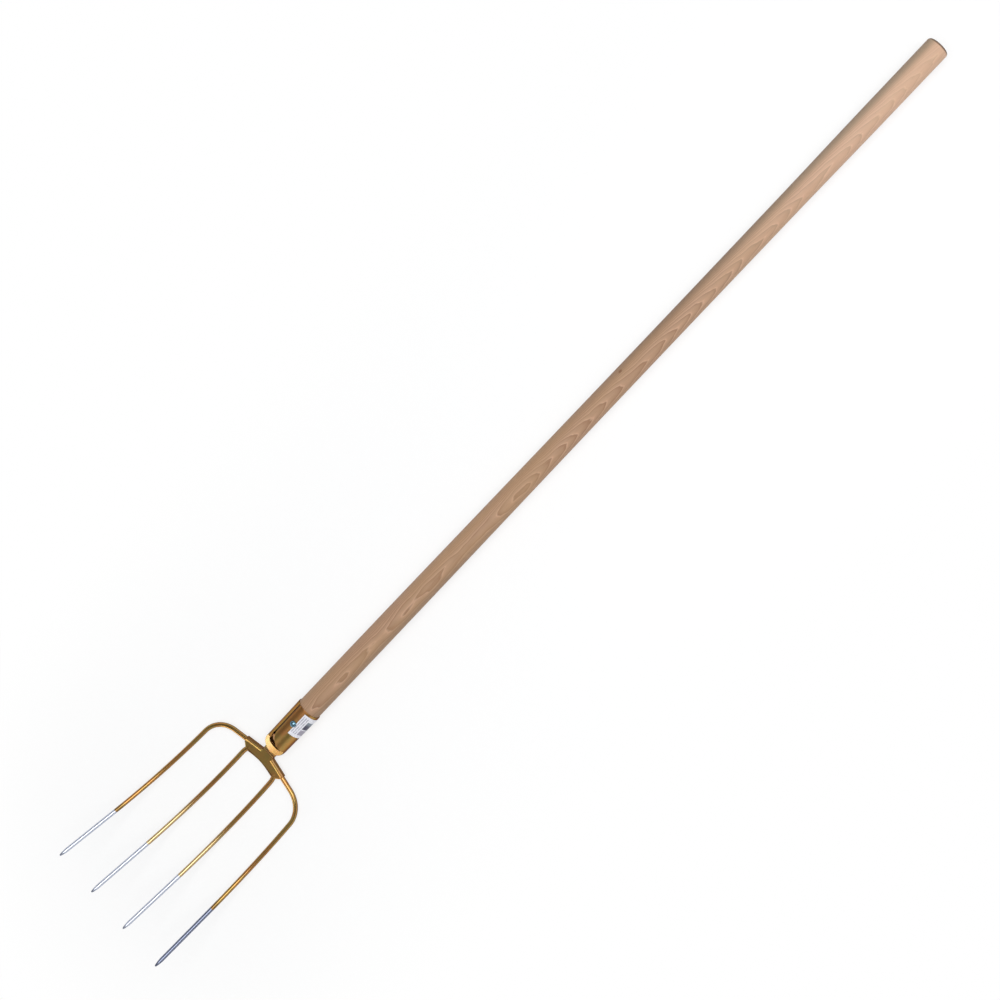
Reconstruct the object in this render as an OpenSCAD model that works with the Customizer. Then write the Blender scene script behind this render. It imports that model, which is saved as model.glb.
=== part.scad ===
// Manure fork with four curved tines, a rolled socket and a long wooden handle.
// It lies on its tines with the hollow side up. The handle runs along X, its top at +X.

/* [Handle] */
// Length of the wooden handle, end to end
handle_len = 1350; // [1000:10:1600]
// Depth of the handle inside the socket
seat_depth = 58; // [45:1:70]
// Diameter of the handle at the socket's mouth
handle_foot_d = 37.8; // [35:0.1:42]
// Diameter of the slim stretch
handle_waist_d = 32.6; // [28:0.1:34]
// Length of the slim stretch
handle_waist_len = 150; // [50:10:250]
// Diameter of the straight grip at the top
grip_d = 34.2; // [32:0.1:40]
// Length of the straight grip, without its rounded edge
grip_len = 106; // [60:1:160]
// Length over which the grip narrows to the slim stretch
grip_taper_len = 180; // [100:10:250]
// Radius of the rounded edge at the top end
grip_edge_r = 4; // [1:0.5:8]

/* [Socket] */
// Length of the straight-sided part of the socket
socket_tube_len = 76; // [74:1:110]
// Length of the rounded lower end of the socket
socket_bowl_len = 21; // [16:1:26]
// Wall thickness of the socket
socket_wall = 1.2; // [1:0.1:2]
// Loss of radius from the mouth to the end of the straight part
socket_narrowing = 1; // [0.5:0.1:3]
// Width of the open seam
seam_w = 1.4; // [0.5:0.1:2]
// Angle of the seam from the front, towards the left
seam_angle = 36; // [20:1:50]
// Thickness of the closed lower end of the socket
bowl_floor = 23; // [18:0.5:26]
// Slope of the saddle between the stem and the lower end of the seam, in degrees
saddle_slope = 28; // [24:1:32]
// Length of the saddle, along its slope
saddle_len = 41.5; // [38:0.5:43]

/* [Crosshead] */
// Thickness of the crosshead
plate_t = 7; // [6:0.5:8]
// Width of the stem between the socket and the arms
stem_w = 22; // [18:0.5:26]
// Length of the crosshead along the handle, from its joint with the socket to its lower edge
plate_len = 25; // [24:0.5:36]
// Distance from the middle to the end of an arm
arm_reach = 41; // [39:0.5:46]
// Distance of the arm's middle line from the lower edge, at its end
arm_rise = 10.5; // [9:0.5:11.5]
// Distance from the arm's middle line to its upper edge
arm_edge = 5; // [4.5:0.5:6]
// Fall of the arms towards their ends, in degrees
arm_droop = 12; // [4:0.5:14]
// Step from the arm's rim down to the tine that leaves it
rim_step = 0.6; // [0.2:0.1:1.5]

/* [Tines] */
// Length of a tine from the crosshead to the point, along its curve
tine_len = 326; // [280:1:380]
// Diameter of a tine at its root
tine_root_d = 7.6; // [7:0.1:9]
// Diameter of a tine just above its point
tine_end_d = 6.6; // [5:0.1:7]
// Length of the ground point
point_len = 15; // [8:1:25]
// Distance from the middle to an outer tine, at the shoulder
outer_reach = 98; // [92:1:115]
// Radius of the shoulder where an outer tine turns
shoulder_r = 44; // [30:1:50]
// Spread of the outer tines, in degrees
outer_fan = 2.7; // [0:0.1:5]
// Distance from the middle to an inner tine, at its root
inner_reach = 30; // [26:0.5:31]
// Radius of the bend at the root of an inner tine
inner_bend_r = 40; // [20:1:60]
// Outward heading of an inner tine at its root, in degrees
inner_heading = 18; // [8:1:22]
// Spread of the inner tines, in degrees
inner_fan = 0.9; // [0:0.1:3]
// Slope of the crosshead against the handle, in degrees
root_slope = -10.5; // [-16:0.5:-6]
// Slope of the points against the handle, in degrees
tip_slope = 29; // [20:0.5:35]
// Length of the curved stretch, along the tine
bend_len = 225; // [160:1:260]

/* [Fastener and label] */
// Distance of the fastener from the socket's mouth
fastener_from_mouth = 28; // [20:1:45]
// Angle of the fastener from the front, towards the left
fastener_angle = -4; // [-15:1:5]
// Diameter of the domed head
fastener_head_d = 10; // [8:0.5:12]
// Height of the domed head
fastener_head_h = 3.4; // [2.5:0.1:4.5]
// Diameter of the shank
shank_d = 4.6; // [3:0.1:6]
// Length of the shank under the head
shank_len = 32; // [20:1:36]
// Length of the label along the socket
label_len = 40; // [25:1:50]
// Width of the label, measured round the socket
label_w = 34; // [20:1:45]
// Distance of the label from the socket's mouth
label_from_mouth = 4; // [2:1:20]
// Angle of the label's near edge from the front, towards the right
label_angle = 13; // [8:1:30]
// Thickness of the label
label_t = 0.2; // [0.1:0.05:0.4]

/* [Hidden] */
$fn = 72;

// Clearance between the handle and the socket's bore, all round
seat_gap = 0.15;
// Clearance of the shank in the handle, and of the nail's head and the label on the socket
skin_gap = 0.05;
// Clearance of the shank in the socket's hole, and of the label round the nail's head
hole_gap = 0.2;
// Overrun of cuts past the faces they cut
overrun = 1;

// Chamfer of the handle's foot
foot_chamfer = 2;
// Length of the stem that belongs to the socket, below its bowl
stem_root = 2;
// Distance of the stem's upper end behind the handle's axis
stem_drop = 8.8;
// Radius of the fillet between the stem and the arms
stem_fillet = 2;
// Hollow of the crosshead's lower edge
lower_hollow = 2.5;
// Diameter of the blunt end of a tine's point
point_end_d = 1.2;
// Exponent of the curve of a tine's point
point_curve = 1.7;
// Length of the nail's point
nail_point = 7;
// Length of the straight skirt under the nail's dome
head_skirt = 1.2;
// Outline of the flaps' edges over the saddle, as shares of its length and of the socket's radius
flap_edge_shares = [[0.99, 0.6], [1, 0.3], [0.94, 0.06], [0.8, -0.26], [0.72, -0.52], [0.68, -0.77],
                    [0.64, -1.05], [0, -1.05], [0, 1.05], [0.55, 1.05], [0.72, 0.86]];

// Steps along the curved stretches and sides round a tine
arc_steps = 12;
run_steps = 28;
point_steps = 5;
tine_sides = 16;
ease_steps = 10;
round_steps = 6;
bowl_steps = 8;
edge_steps = 6;
hull_sides = 32;

// Radii of the handle and the places of its stretches, from the socket's mouth
foot_r = handle_foot_d / 2;
waist_r = handle_waist_d / 2;
grip_r = grip_d / 2;
handle_top = handle_len - seat_depth;
grip_start = handle_top - grip_edge_r - grip_len;
waist_end = grip_start - grip_taper_len;
waist_start = waist_end - handle_waist_len;

// Radii of the socket's bore and skin at a depth below its mouth
function bore_r(depth) = foot_r + seat_gap - socket_narrowing * depth / socket_tube_len;
function skin_r(depth) = bore_r(depth) + socket_wall;
socket_len = socket_tube_len + socket_bowl_len;
tube_end_r = skin_r(socket_tube_len);
bore_len = socket_len - bowl_floor;

// Lower edge of the crosshead: the head slopes back from the socket, then the tines bend forward
head_x = -socket_len - stem_root - plate_len * cos(root_slope);
head_z = -stem_drop + plate_len * sin(root_slope);
bend_r = bend_len / (tip_slope - root_slope) * 180 / PI;
root_r = tine_root_d / 2;
end_r = tine_end_d / 2;
rim_r = root_r + rim_step;
point_start = tine_len - point_len;

// Slope of the tines at a length below the crosshead
function slope(v) = root_slope + (tip_slope - root_slope) * min(max(v / bend_len, 0), 1);

// Place of the point at length v and side distance y, on the sheet that the tines are bent along
function bent(v, y) = [
    head_x - bend_r * (sin(slope(v)) - sin(root_slope))
        - min(v, 0) * cos(root_slope) - max(v - bend_len, 0) * cos(tip_slope),
    y,
    head_z + bend_r * (cos(root_slope) - cos(slope(v)))
        + min(v, 0) * sin(root_slope) + max(v - bend_len, 0) * sin(tip_slope)];

// Radius of a tine at length v: a long taper, then the ground point
function point_share(v) = max(v - point_start, 0) / point_len;
function tine_r(v) = v > point_start
    ? end_r - (end_r - point_end_d / 2) * pow(point_share(v), point_curve)
    : root_r - (root_r - end_r) * max(v, 0) / point_start;

// Ring of points round a tine at a station, which is [length, side distance, heading]
function ring(s) = [for (i = [0:tine_sides - 1])
    let (a = 360 * i / tine_sides, r = tine_r(s[0]), p = slope(s[0]), h = s[2])
    bent(s[0], s[1])
        + r * cos(a) * [sin(h) * cos(p), cos(h), -sin(h) * sin(p)]
        + r * sin(a) * [sin(p), 0, cos(p)]];

// Stations of a turn about the centre [v, y], from one heading to another
function turn(v, y, r, from, to) = [for (i = [0:arc_steps])
    let (h = from + (to - from) * i / arc_steps)
    [v - r * sin(h), y + r * cos(h), h]];

// Stations of the long run after a turn about the centre [v, y], and of the point
function run(v, y, r, fan) = let (
    start_v = v - r * sin(fan),
    start_y = y + r * cos(fan),
    lengths = concat(
        [for (i = [1:run_steps]) start_v + (point_start - start_v) * i / run_steps],
        [for (i = [1:point_steps]) point_start + point_len * i / point_steps]))
    [for (s = lengths) [s, start_y + (s - start_v) * tan(fan), fan]];

// Outer tine: along the arm, round the shoulder, then down to the point
arm_heading = 90 - arm_droop;
shoulder_y = outer_reach - shoulder_r * cos(outer_fan);
shoulder_start_y = shoulder_y + shoulder_r * cos(arm_heading);
shoulder_v = -arm_rise + (shoulder_start_y - arm_reach) * tan(arm_droop) + shoulder_r * sin(arm_heading);
outer_stations = concat(
    [[-arm_rise, arm_reach, arm_heading]],
    turn(shoulder_v, shoulder_y, shoulder_r, arm_heading, outer_fan),
    run(shoulder_v, shoulder_y, shoulder_r, outer_fan));

// Inner tine: a short bend at the lower corner of the crosshead, then down to the point
inner_bend_v = inner_bend_r * sin(inner_heading);
inner_bend_y = inner_reach - inner_bend_r * cos(inner_heading);
inner_stations = concat(
    turn(inner_bend_v, inner_bend_y, inner_bend_r, inner_heading, inner_fan),
    run(inner_bend_v, inner_bend_y, inner_bend_r, inner_fan));

// Lowest point of the tines and the far ends along X, which set the origin
low_z = min([for (s = outer_stations) bent(s[0], s[1])[2] - tine_r(s[0]) * cos(slope(s[0]))]);
tip_x = bent(tine_len, 0)[0] - tine_r(tine_len) * sin(tip_slope);
middle_x = (handle_top + tip_x) / 2;

// Moves the fork from the middle of the socket's mouth to the origin, under its middle
module laid() {
    translate([-middle_x, 0, -low_z]) children();
}

// Turns a shape drawn along Z so that it lies along the handle
module along_handle() {
    rotate([0, 90, 0]) children();
}

// Turns a shape drawn along Z so that it points out of the socket where the nail is
module at_nail() {
    translate([-fastener_from_mouth, 0, 0]) rotate([-fastener_angle, 0, 0]) children();
}

// The sloping plane of the crosshead, with the middle of its lower edge at the origin
module at_crosshead() {
    translate([head_x, 0, head_z]) rotate([0, root_slope, 0]) children();
}

// Smooth step from 0 to 1
function ease(t) = (1 - cos(180 * t)) / 2;

// Half outline of the handle, as [radius, distance from the mouth]
foot_end_r = bore_r(seat_depth) - seat_gap;
handle_outline = concat(
    [[0, -seat_depth], [foot_end_r - foot_chamfer, -seat_depth], [foot_end_r, foot_chamfer - seat_depth]],
    [for (i = [0:ease_steps]) let (t = i / ease_steps)
        [foot_r + (waist_r - foot_r) * ease(t), waist_start * t]],
    [for (i = [0:ease_steps]) let (t = i / ease_steps)
        [waist_r + (grip_r - waist_r) * ease(t), waist_end + grip_taper_len * t]],
    [for (i = [0:round_steps]) let (a = 90 * i / round_steps)
        [grip_r - grip_edge_r * (1 - cos(a)), handle_top - grip_edge_r * (1 - sin(a))]],
    [[0, handle_top]]);

module handle() {
    color("burlywood") laid() difference() {
        along_handle() rotate_extrude() polygon(handle_outline);
        at_nail() nail_shank(skin_gap);
    }
}

// Solid of the socket's outside, grown all round by a gap or shrunk by a wall
module socket_solid(growth) {
    along_handle() rotate_extrude() polygon(concat(
        [[0, 0], [skin_r(0) + growth, 0]],
        [for (i = [0:bowl_steps]) let (a = 90 * i / bowl_steps)
            [(tube_end_r + growth) * cos(a), -socket_tube_len - (socket_bowl_len + growth) * sin(a)]]));
}

// Flat-ended bore that takes the handle's foot
module bore() {
    along_handle() translate([0, 0, -bore_len])
        cylinder(r1 = bore_r(bore_len), r2 = bore_r(-overrun), h = bore_len + overrun);
}

// Short stem that leads from the back of the bowl to the crosshead
module stem() {
    hull() {
        at_crosshead() translate([plate_len, -stem_w / 2, -plate_t / 2])
            cube([stem_root, stem_w, plate_t]);
        intersection() {
            socket_solid(-socket_wall, $fn = hull_sides);
            translate([-socket_len, -stem_w / 2 - socket_wall, -tube_end_r])
                cube([socket_bowl_len, stem_w + 2 * socket_wall, tube_end_r - stem_drop + plate_t / 2]);
        }
    }
}

// Cut over the saddle, where the flaps part below the seam and show the root of the stem
module flap_opening() {
    translate([-socket_len - stem_root, 0, plate_t / 2 - stem_drop]) rotate([0, -saddle_slope, 0])
        linear_extrude(2 * tube_end_r)
            polygon([for (s = flap_edge_shares) [s[0] * saddle_len, s[1] * tube_end_r]]);
}

// Slit from the mouth to the end of the bore
module seam() {
    rotate([-seam_angle, 0, 0]) translate([-bore_len, -seam_w / 2, 0])
        cube([bore_len + overrun, seam_w, skin_r(0) + overrun]);
}

module socket() {
    color("darkgoldenrod") laid() difference() {
        union() {
            socket_solid(0);
            stem();
        }
        bore();
        seam();
        flap_opening();
        at_nail() cylinder(d = shank_d + 2 * hole_gap, h = skin_r(0) + overrun);
    }
}

// Left half of the crosshead's outline, from the stem round the arm to the lower edge
arm_end = [arm_rise, arm_reach];
arm_across = [cos(arm_droop), sin(arm_droop)];
arm_top = arm_end + arm_edge * arm_across;
fillet_y = stem_w / 2 + stem_fillet;
fillet_x = arm_top[0] + (stem_fillet - (fillet_y - arm_top[1]) * sin(arm_droop)) / cos(arm_droop);
inner_across = [sin(inner_heading), cos(inner_heading)];
inner_outside = [0, inner_reach] + rim_r * inner_across;
inner_inside = [0, inner_reach] - rim_r * inner_across;
half_outline = concat(
    [[plate_len, stem_w / 2]],
    [for (i = [0:edge_steps]) let (a = -90 - (90 - arm_droop) * i / edge_steps)
        [fillet_x + stem_fillet * cos(a), fillet_y + stem_fillet * sin(a)]],
    [arm_top, arm_end - root_r * arm_across, inner_outside, inner_inside],
    [for (i = [1:edge_steps]) let (t = 1 - i / edge_steps)
        [inner_inside[0] + (lower_hollow - inner_inside[0]) * cos(90 * t), inner_inside[1] * t]]);

crosshead_outline = concat(half_outline,
    [for (i = [len(half_outline) - 2:-1:0]) [half_outline[i][0], -half_outline[i][1]]]);

module crosshead() {
    color("olive") laid() at_crosshead() {
        translate([0, 0, -plate_t / 2]) linear_extrude(plate_t) polygon(crosshead_outline);
        for (side = [0, 1]) mirror([0, side, 0]) arm_rim();
    }
}

// Round rim along the upper edge of an arm, from its end to a rounded end at the stem
rim_len = (arm_reach - stem_w / 2) / cos(arm_droop);
module arm_rim() {
    translate([arm_rise, arm_reach, 0]) rotate([0, 0, arm_droop]) rotate([90, 0, 0])
        rotate_extrude() polygon(concat(
            [[0, 0], [rim_r, 0]],
            [for (i = [0:round_steps]) let (a = 90 * i / round_steps)
                [rim_r * cos(a), rim_len + rim_r * sin(a)]]));
}

// Tine swept along its stations
module tine(stations) {
    rings = len(stations);
    points = [for (s = stations) each ring(s)];
    walls = [for (i = [0:rings - 2], j = [0:tine_sides - 1])
        let (a = i * tine_sides, b = a + tine_sides, k = (j + 1) % tine_sides)
        [a + j, a + k, b + k, b + j]];
    root = [for (j = [0:tine_sides - 1]) tine_sides - 1 - j];
    tip = [for (j = [0:tine_sides - 1]) (rings - 1) * tine_sides + j];
    color("goldenrod") laid() polyhedron(points, concat(walls, [root, tip]));
}

module outer_tine_left() {
    tine(outer_stations);
}

module inner_tine_left() {
    tine(inner_stations);
}

module inner_tine_right() {
    mirror([0, 1, 0]) tine(inner_stations);
}

module outer_tine_right() {
    mirror([0, 1, 0]) tine(outer_stations);
}

// Shank of the nail with its point, drawn along Z from the handle's axis
nail_seat_r = skin_r(fastener_from_mouth);
module nail_shank(gap) {
    translate([0, 0, nail_seat_r - shank_len]) {
        cylinder(d1 = 0, d2 = shank_d + 2 * gap, h = nail_point);
        translate([0, 0, nail_point])
            cylinder(d = shank_d + 2 * gap, h = shank_len - nail_point);
    }
}

// Domed head of the nail, with its skirt shaped to the socket
module nail_head() {
    difference() {
        at_nail() rotate_extrude() polygon(concat(
            [[0, nail_seat_r - head_skirt], [fastener_head_d / 2, nail_seat_r - head_skirt]],
            [for (i = [0:round_steps]) let (a = 90 * i / round_steps)
                [fastener_head_d / 2 * cos(a), nail_seat_r + fastener_head_h * sin(a)]]));
        socket_solid(skin_gap);
    }
}

module socket_nail() {
    color("lightsteelblue") laid() {
        nail_head();
        at_nail() nail_shank(0);
    }
}

// Paper label bent round the socket, with a notch for the nail's head
label_end = label_from_mouth + label_len;
label_turn = label_w / skin_r(label_end) * 180 / PI;
label_back = skin_gap;
label_face = skin_gap + label_t;
module label() {
    color("white") laid() difference() {
        along_handle() rotate([0, 0, 180 + label_angle]) rotate_extrude(angle = label_turn) polygon([
            [skin_r(label_from_mouth) + label_back, -label_from_mouth],
            [skin_r(label_from_mouth) + label_face, -label_from_mouth],
            [skin_r(label_end) + label_face, -label_end],
            [skin_r(label_end) + label_back, -label_end]]);
        at_nail() cylinder(d = fastener_head_d + 2 * hole_gap, h = nail_seat_r + fastener_head_h);
    }
}

handle();
socket();
crosshead();
outer_tine_left();
inner_tine_left();
inner_tine_right();
outer_tine_right();
socket_nail();
label();
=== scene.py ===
"""Looks of the manure fork: finer meshes, procedural materials, floor, light and camera."""

import math

import bmesh
import bpy
import numpy as np
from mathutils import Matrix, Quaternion, Vector


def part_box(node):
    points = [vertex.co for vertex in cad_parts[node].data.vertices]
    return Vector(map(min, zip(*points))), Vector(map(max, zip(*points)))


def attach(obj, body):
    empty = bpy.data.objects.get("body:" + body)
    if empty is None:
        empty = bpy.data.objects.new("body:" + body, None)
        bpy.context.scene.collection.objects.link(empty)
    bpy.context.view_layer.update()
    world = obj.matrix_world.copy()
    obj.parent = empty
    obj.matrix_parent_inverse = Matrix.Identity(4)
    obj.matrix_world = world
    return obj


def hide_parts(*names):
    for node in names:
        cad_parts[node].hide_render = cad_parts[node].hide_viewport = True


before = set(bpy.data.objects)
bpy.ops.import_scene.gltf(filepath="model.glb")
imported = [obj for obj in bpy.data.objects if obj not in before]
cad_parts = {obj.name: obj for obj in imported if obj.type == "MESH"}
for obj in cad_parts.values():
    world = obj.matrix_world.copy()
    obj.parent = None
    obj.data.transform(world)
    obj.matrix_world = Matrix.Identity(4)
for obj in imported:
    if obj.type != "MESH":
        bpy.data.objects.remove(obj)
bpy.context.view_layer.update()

# Lengths are in millimetres, from the middle of the socket's mouth: x runs up the handle, y to the
# left and z out of the hollow side. laid() takes such points to the frame, in metres.
MM = 0.001

# Handle
HANDLE_TOP = 1292.0
SEAT_DEPTH = 58.0
FOOT_R = 18.9
FOOT_CHAMFER = 2.0
WAIST_R = 16.3
WAIST_START = 852.0
WAIST_END = 1002.0
GRIP_R = 17.1
GRIP_START = 1182.0
GRIP_EDGE_R = 4.0
HANDLE_SIDES = 96
TAPER_STEPS = 60
GRIP_STEPS = 30
EDGE_STEPS = 14

# Growth rings of the wood: their heart behind the handle, their spacing and the loops they draw
HEART_Y = 17.0
HEART_TURN = 15.0
HEART_Z = -46.0
RING_STEP = 1.5
RING_LEAN = -0.054
LEAN_FROM = 480.0
LOOP_X = 68.0
LOOP_LEN = 210.0
LOOP_RISE = 1.3
LOOPS_END_X = (LEAN_FROM + 60.0, LEAN_FROM - 40.0)
KNOT = (687.0, 7.5)
KNOT_R = 2.6
KNOT_CORE_R = KNOT_R * 0.4
KNOT_STRETCH = 0.6
KNOT_FRONT_Z = (0.0, 1.0)

# Painted light and shade on the wood, and its darker end grain, each as the places where it begins and where
# it is full
# Painted light: the handle turns paler towards its top end
PAINTED_LIGHT_X = (700.0, 1250.0)
LEFT_SHADE_X = (480.0, 850.0)
LEFT_SHADE_Y = (-1.0, 16.0)
RIGHT_SHADE_X = (480.0, 300.0)
RIGHT_SHADE_Y = (-10.0, -18.0)
# Painted shade and darker end grain on the rim of the top end
END_RIM_X = (HANDLE_TOP - 3.6, HANDLE_TOP - 2.0)
END_RIM_R = (12.0, 14.0)
# Painted shade where the handle sits in the socket
SEAT_SHADE_X = (-0.5, -1.5)

# Socket
TUBE_LEN = 76.0
BOWL_LEN = 21.0
WALL = 1.2
NARROWING = 1.0
SEAT_GAP = 0.15
BOWL_FLOOR = 31.0
SEAM_ANGLE = 36.0
SEAM_W = 2.6
SADDLE_LEDGE = 2.5
SADDLE_SLOPE = 28.0
HOLLOW_DEPTH = 4.5
STEM_ROOT = 2.0
STEM_DROP = 8.8
STEM_W = 22.0
STEM_SWEEP = (100.0, 260.0)
STEM_STEPS = 25
OVERRUN = 2.0
SOCKET_SIDES = 128
TUBE_STEPS = 24
BOWL_STEPS = 20
BOWL_END_ANGLE = 89.0
SOCKET_VOXEL = 0.3
SOCKET_ROUNDS = 12
SOCKET_KEEP = 0.25

# Outlines over the saddle as [x, y]: the opening between the flaps, down to the saddle's foot, and the
# hollow behind the saddle's upper edge
OPENING = [(-58.0, 10.5), (-64.0, 6.9), (-68.0, 2.4), (-72.0, -3.4), (-74.0, -8.5), (-75.4, -12.2),
           (-76.2, -16.9), (-77.0, -21.0), (-96.5, -21.0), (-96.5, 21.0), (-74.0, 21.0), (-72.7, 15.4),
           (-70.5, 10.5)]
HOLLOW = [(-77.0, 12.8), (-81.5, 8.4), (-82.6, 3.3), (-82.7, -2.5), (-81.9, -8.5), (-80.0, -12.0),
          (-70.0, -12.0), (-60.0, 4.0), (-60.0, 12.8)]

# Crosshead
PLATE_T = 7.0
PLATE_LEN = 25.0
ARM_REACH = 41.0
ARM_RISE = 10.5
ARM_EDGE = 5.0
ARM_DROOP = 12.0
RIM_R = 2.8
RIM_SHIFT = 2.0
RIM_LIFT = 1.5
BOSS_LEN = 5.0
BOSS_R = 3.9
STEM_FILLET = 2.0
LOWER_HOLLOW = 2.5
FILLET_STEPS = 10
HOLLOW_STEPS = 12
BAR_SIDES = 32
BAR_STEPS = 8
ROUND_END_ANGLE = 88.0
HEAD_VOXEL = 0.35
HEAD_ROUNDS = 40
HEAD_KEEP = 0.3

# Softening of the forged pieces, and the angles from which edges are shaded sharp
SOFTEN = 0.5
SETTLE = 0.3
SETTLE_ROUNDS = 5
SHARP_ANGLE = 35.0
FORGED_SHARP_ANGLE = 60.0

# Tines
TINE_LEN = 326.0
ROOT_R = 3.8
END_R = 3.3
POINT_LEN = 15.0
POINT_HALF_W = 1.2
POINT_HALF_T = 0.8
POINT_CURVE = 1.9
NOSE_LEN = 1.3
NOSE_ANGLES = (20.0, 40.0, 60.0, 75.0, 86.0)
OUTER_REACH = 98.0
SHOULDER_R = 44.0
OUTER_FAN = 2.7
INNER_REACH = 30.0
INNER_BEND_R = 40.0
INNER_HEADING = 18.0
INNER_FAN = 0.9
ROOT_SLOPE = -10.5
TIP_SLOPE = 29.0
BEND_LEN = 225.0
BARE_FROM = 216.0
DIP_TILT = 0.048
TINE_SEAT = 4.0
BOX_MARGIN = 0.08
TINE_SIDES = 36
SHOULDER_STEPS = 40
CORNER_STEPS = 12
OUTER_STEPS = 70
INNER_STEPS = 80
POINT_STEPS = 16

# Nail and label
NAIL_FROM_MOUTH = 28.0
NAIL_ANGLE = -4.0
NAIL_HEAD_R = 5.0
NAIL_HEAD_H = 3.4
NAIL_SKIRT = 1.2
NAIL_EDGE = 0.4
SHANK_R = 2.3
SHANK_LEN = 32.0
NAIL_POINT = 7.0
NAIL_TIP_R = SHANK_R * 0.05
NAIL_SIDES = 48
DOME_STEPS = 14
LABEL_FROM_MOUTH = 4.0
LABEL_LEN = 40.0
LABEL_W = 34.0
LABEL_ANGLE = -13.0
LABEL_LIFT = 0.1
LABEL_T = 0.2
LABEL_STEPS = 28

# Print on the label, as shares of its length u and of its width v
RULE_ROWS = 10.0
RULES_U = (0.08, 0.88)
RULES_V = (0.04, 0.31)
BLOCKS_V = (0.37, 0.74)
DARK_BLOCK_U = (0.2, 0.57)
PALE_BLOCK_U = (0.61, 0.86)
INK_FADE_U = (0.42, 0.24)

# Places on the lacquer, each as where a mark begins and where it is full: thick runs, painted shade beside
# the seam, in creases, in the bore, on the saddle's low side and on the crosshead's edges, and a painted
# highlight on the saddle's high side
RUNS_SEAM_GAP = 4.0
RUNS_SOFT = 7.0
RUNS_X = (-66.0, -48.0)
SEAM_SHADE = (SEAM_ANGLE - 7.0, SEAM_ANGLE + 3.0)
SEAM_SHADE_SOFT = 2.5
SEAM_SHADE_X = (-72.0, -66.0)
INSIDE_X = (-85.0, -84.0)
INSIDE_R = (18.0, 17.0)
UNDER_SADDLE = (0.4, 1.6)
NEAR_SADDLE = (1.2, 0.6)
SADDLE_TOP_X = (-74.0, -76.0)
LOW_SIDE_Y = (8.0, -12.0)
HIGH_SIDE_Y = (-4.0, 8.0)
SADDLE_CREASE_SOFT = 0.6
STEM_CREASE_LEN = 2.2
STEM_CREASE_SOFT = 0.7
LOWER_EDGE = (1.8, 0.6)
BACK_EDGE_FACING = (0.05, 0.25)

# Places on a tine, as lengths above its tip or above the dip line
TIP_SHADE = (9.0, 3.0)
# Painted shade on the outer tines
DIP_SHADE = (18.0, 6.0)
# Painted highlight on the inner tines
HIGHLIGHT_ABOVE_DIP = (120.0, 30.0)
DIP_SOFT = 0.5
INNER_Y = 50.0
OUTER_Y = 70.0

# Grains of the noises along x, y and z, and how far some of them swing
WAVER_GRAIN = (45.0, 11.0, 11.0)
WAVER_REACH = 1.1
DRIFT_GRAIN = (130.0, 60.0, 60.0)
DRIFT_REACH = 2.4
TONE_GRAIN = (150.0, 22.0, 22.0)
FIBRE_GRAIN = (30.0, 0.8, 0.8)
PORE_GRAIN = (11.0, 0.4, 0.4)
CLOUD_GRAIN = (22.0, 15.0, 15.0)
PATCH_GRAIN = (40.0, 20.0, 20.0)
DENT_GRAIN = (9.0, 6.5, 6.5)
RUNS_GRAIN = (14.0, 6.0, 6.0)
RUNS_REACH = 16.0
SCRATCH_GRAIN = (8.0, 0.25, 0.25)
DIP_GRAIN = (3.0, 3.0, 3.0)
DIP_REACH = 1.6
CRYSTAL_GRAIN = (1.1, 1.1, 1.1)
PRINT_GRAIN = (4.0, 1.2, 1.2)
PAPER_GRAIN = (0.9, 0.9, 0.9)

# Floor and backdrop, in metres. Near the fork the floor shows FLOOR_GLOW of full white.
FLOOR_R = 6.0
FLOOR_RINGS = (1.0, 2.0, 3.0)
BACKDROP_H = 3.0
COVE_R = 1.5
COVE_STEPS = 16
FLOOR_SIDES = 96
FLOOR_COLOUR = (0.93, 0.93, 0.93, 1.0)
FLOOR_GLOW = 0.72
WHITE = (1.0, 1.0, 1.0, 1.0)
FORK_HALF_LEN = 0.7
AWAY_FROM_FORK = (0.1, 0.45)

# Sky, and the lamps as name, place, aim, width, depth and radiance, in metres
SKY_COLOUR = (0.94, 0.97, 1.0, 1.0)
SKY_STRENGTH = 0.26
LAMPS = [("key", (0.75, -0.35, 2.8), (0.75, -0.34, 0.0), 3.0, 2.4, 3.4),
         ("upper", (1.6, -1.5, 2.4), (0.8, 0.0, 0.0), 1.0, 2.0, 1.4),
         ("fill", (-1.7, -0.1, 2.7), (-0.6, 0.0, 0.0), 1.4, 2.2, 0.45),
         ("front", (-3.4, 0.45, 0.6), (-0.5, 0.0, 0.0), 1.8, 0.8, 4.0)]

# Camera: places in metres, roll in degrees, lens and sensor in millimetres
CAMERA_PLACE = (0.38004, -0.34163, 2.01269)
CAMERA_AIM = (-0.00327, 0.01216, 0.0)
CAMERA_ROLL = -92.885
CAMERA_LENS = 51.012
SENSOR_W = 36.0


def sind(angle):
    return math.sin(math.radians(angle))


def cosd(angle):
    return math.cos(math.radians(angle))


def tand(angle):
    return math.tan(math.radians(angle))


# Values worked out from the frame and from the sizes above
HANDLE_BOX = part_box("handle")
MIDDLE_X = HANDLE_TOP - HANDLE_BOX[1].x / MM
AXIS_Z = (HANDLE_BOX[0].z + HANDLE_BOX[1].z) / 2 / MM
MOUTH_R = FOOT_R + SEAT_GAP + WALL
TUBE_END_R = MOUTH_R - NARROWING
SOCKET_LEN = TUBE_LEN + BOWL_LEN
BORE_LEN = SOCKET_LEN - BOWL_FLOOR
HEAD_X = -SOCKET_LEN - STEM_ROOT - PLATE_LEN * cosd(ROOT_SLOPE)
HEAD_Z = -STEM_DROP + PLATE_LEN * sind(ROOT_SLOPE)
STEM_END = -SOCKET_LEN - STEM_ROOT
SADDLE_X = STEM_END + SADDLE_LEDGE
SADDLE_Z = PLATE_T / 2 - STEM_DROP - SADDLE_LEDGE * tand(ROOT_SLOPE)
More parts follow.
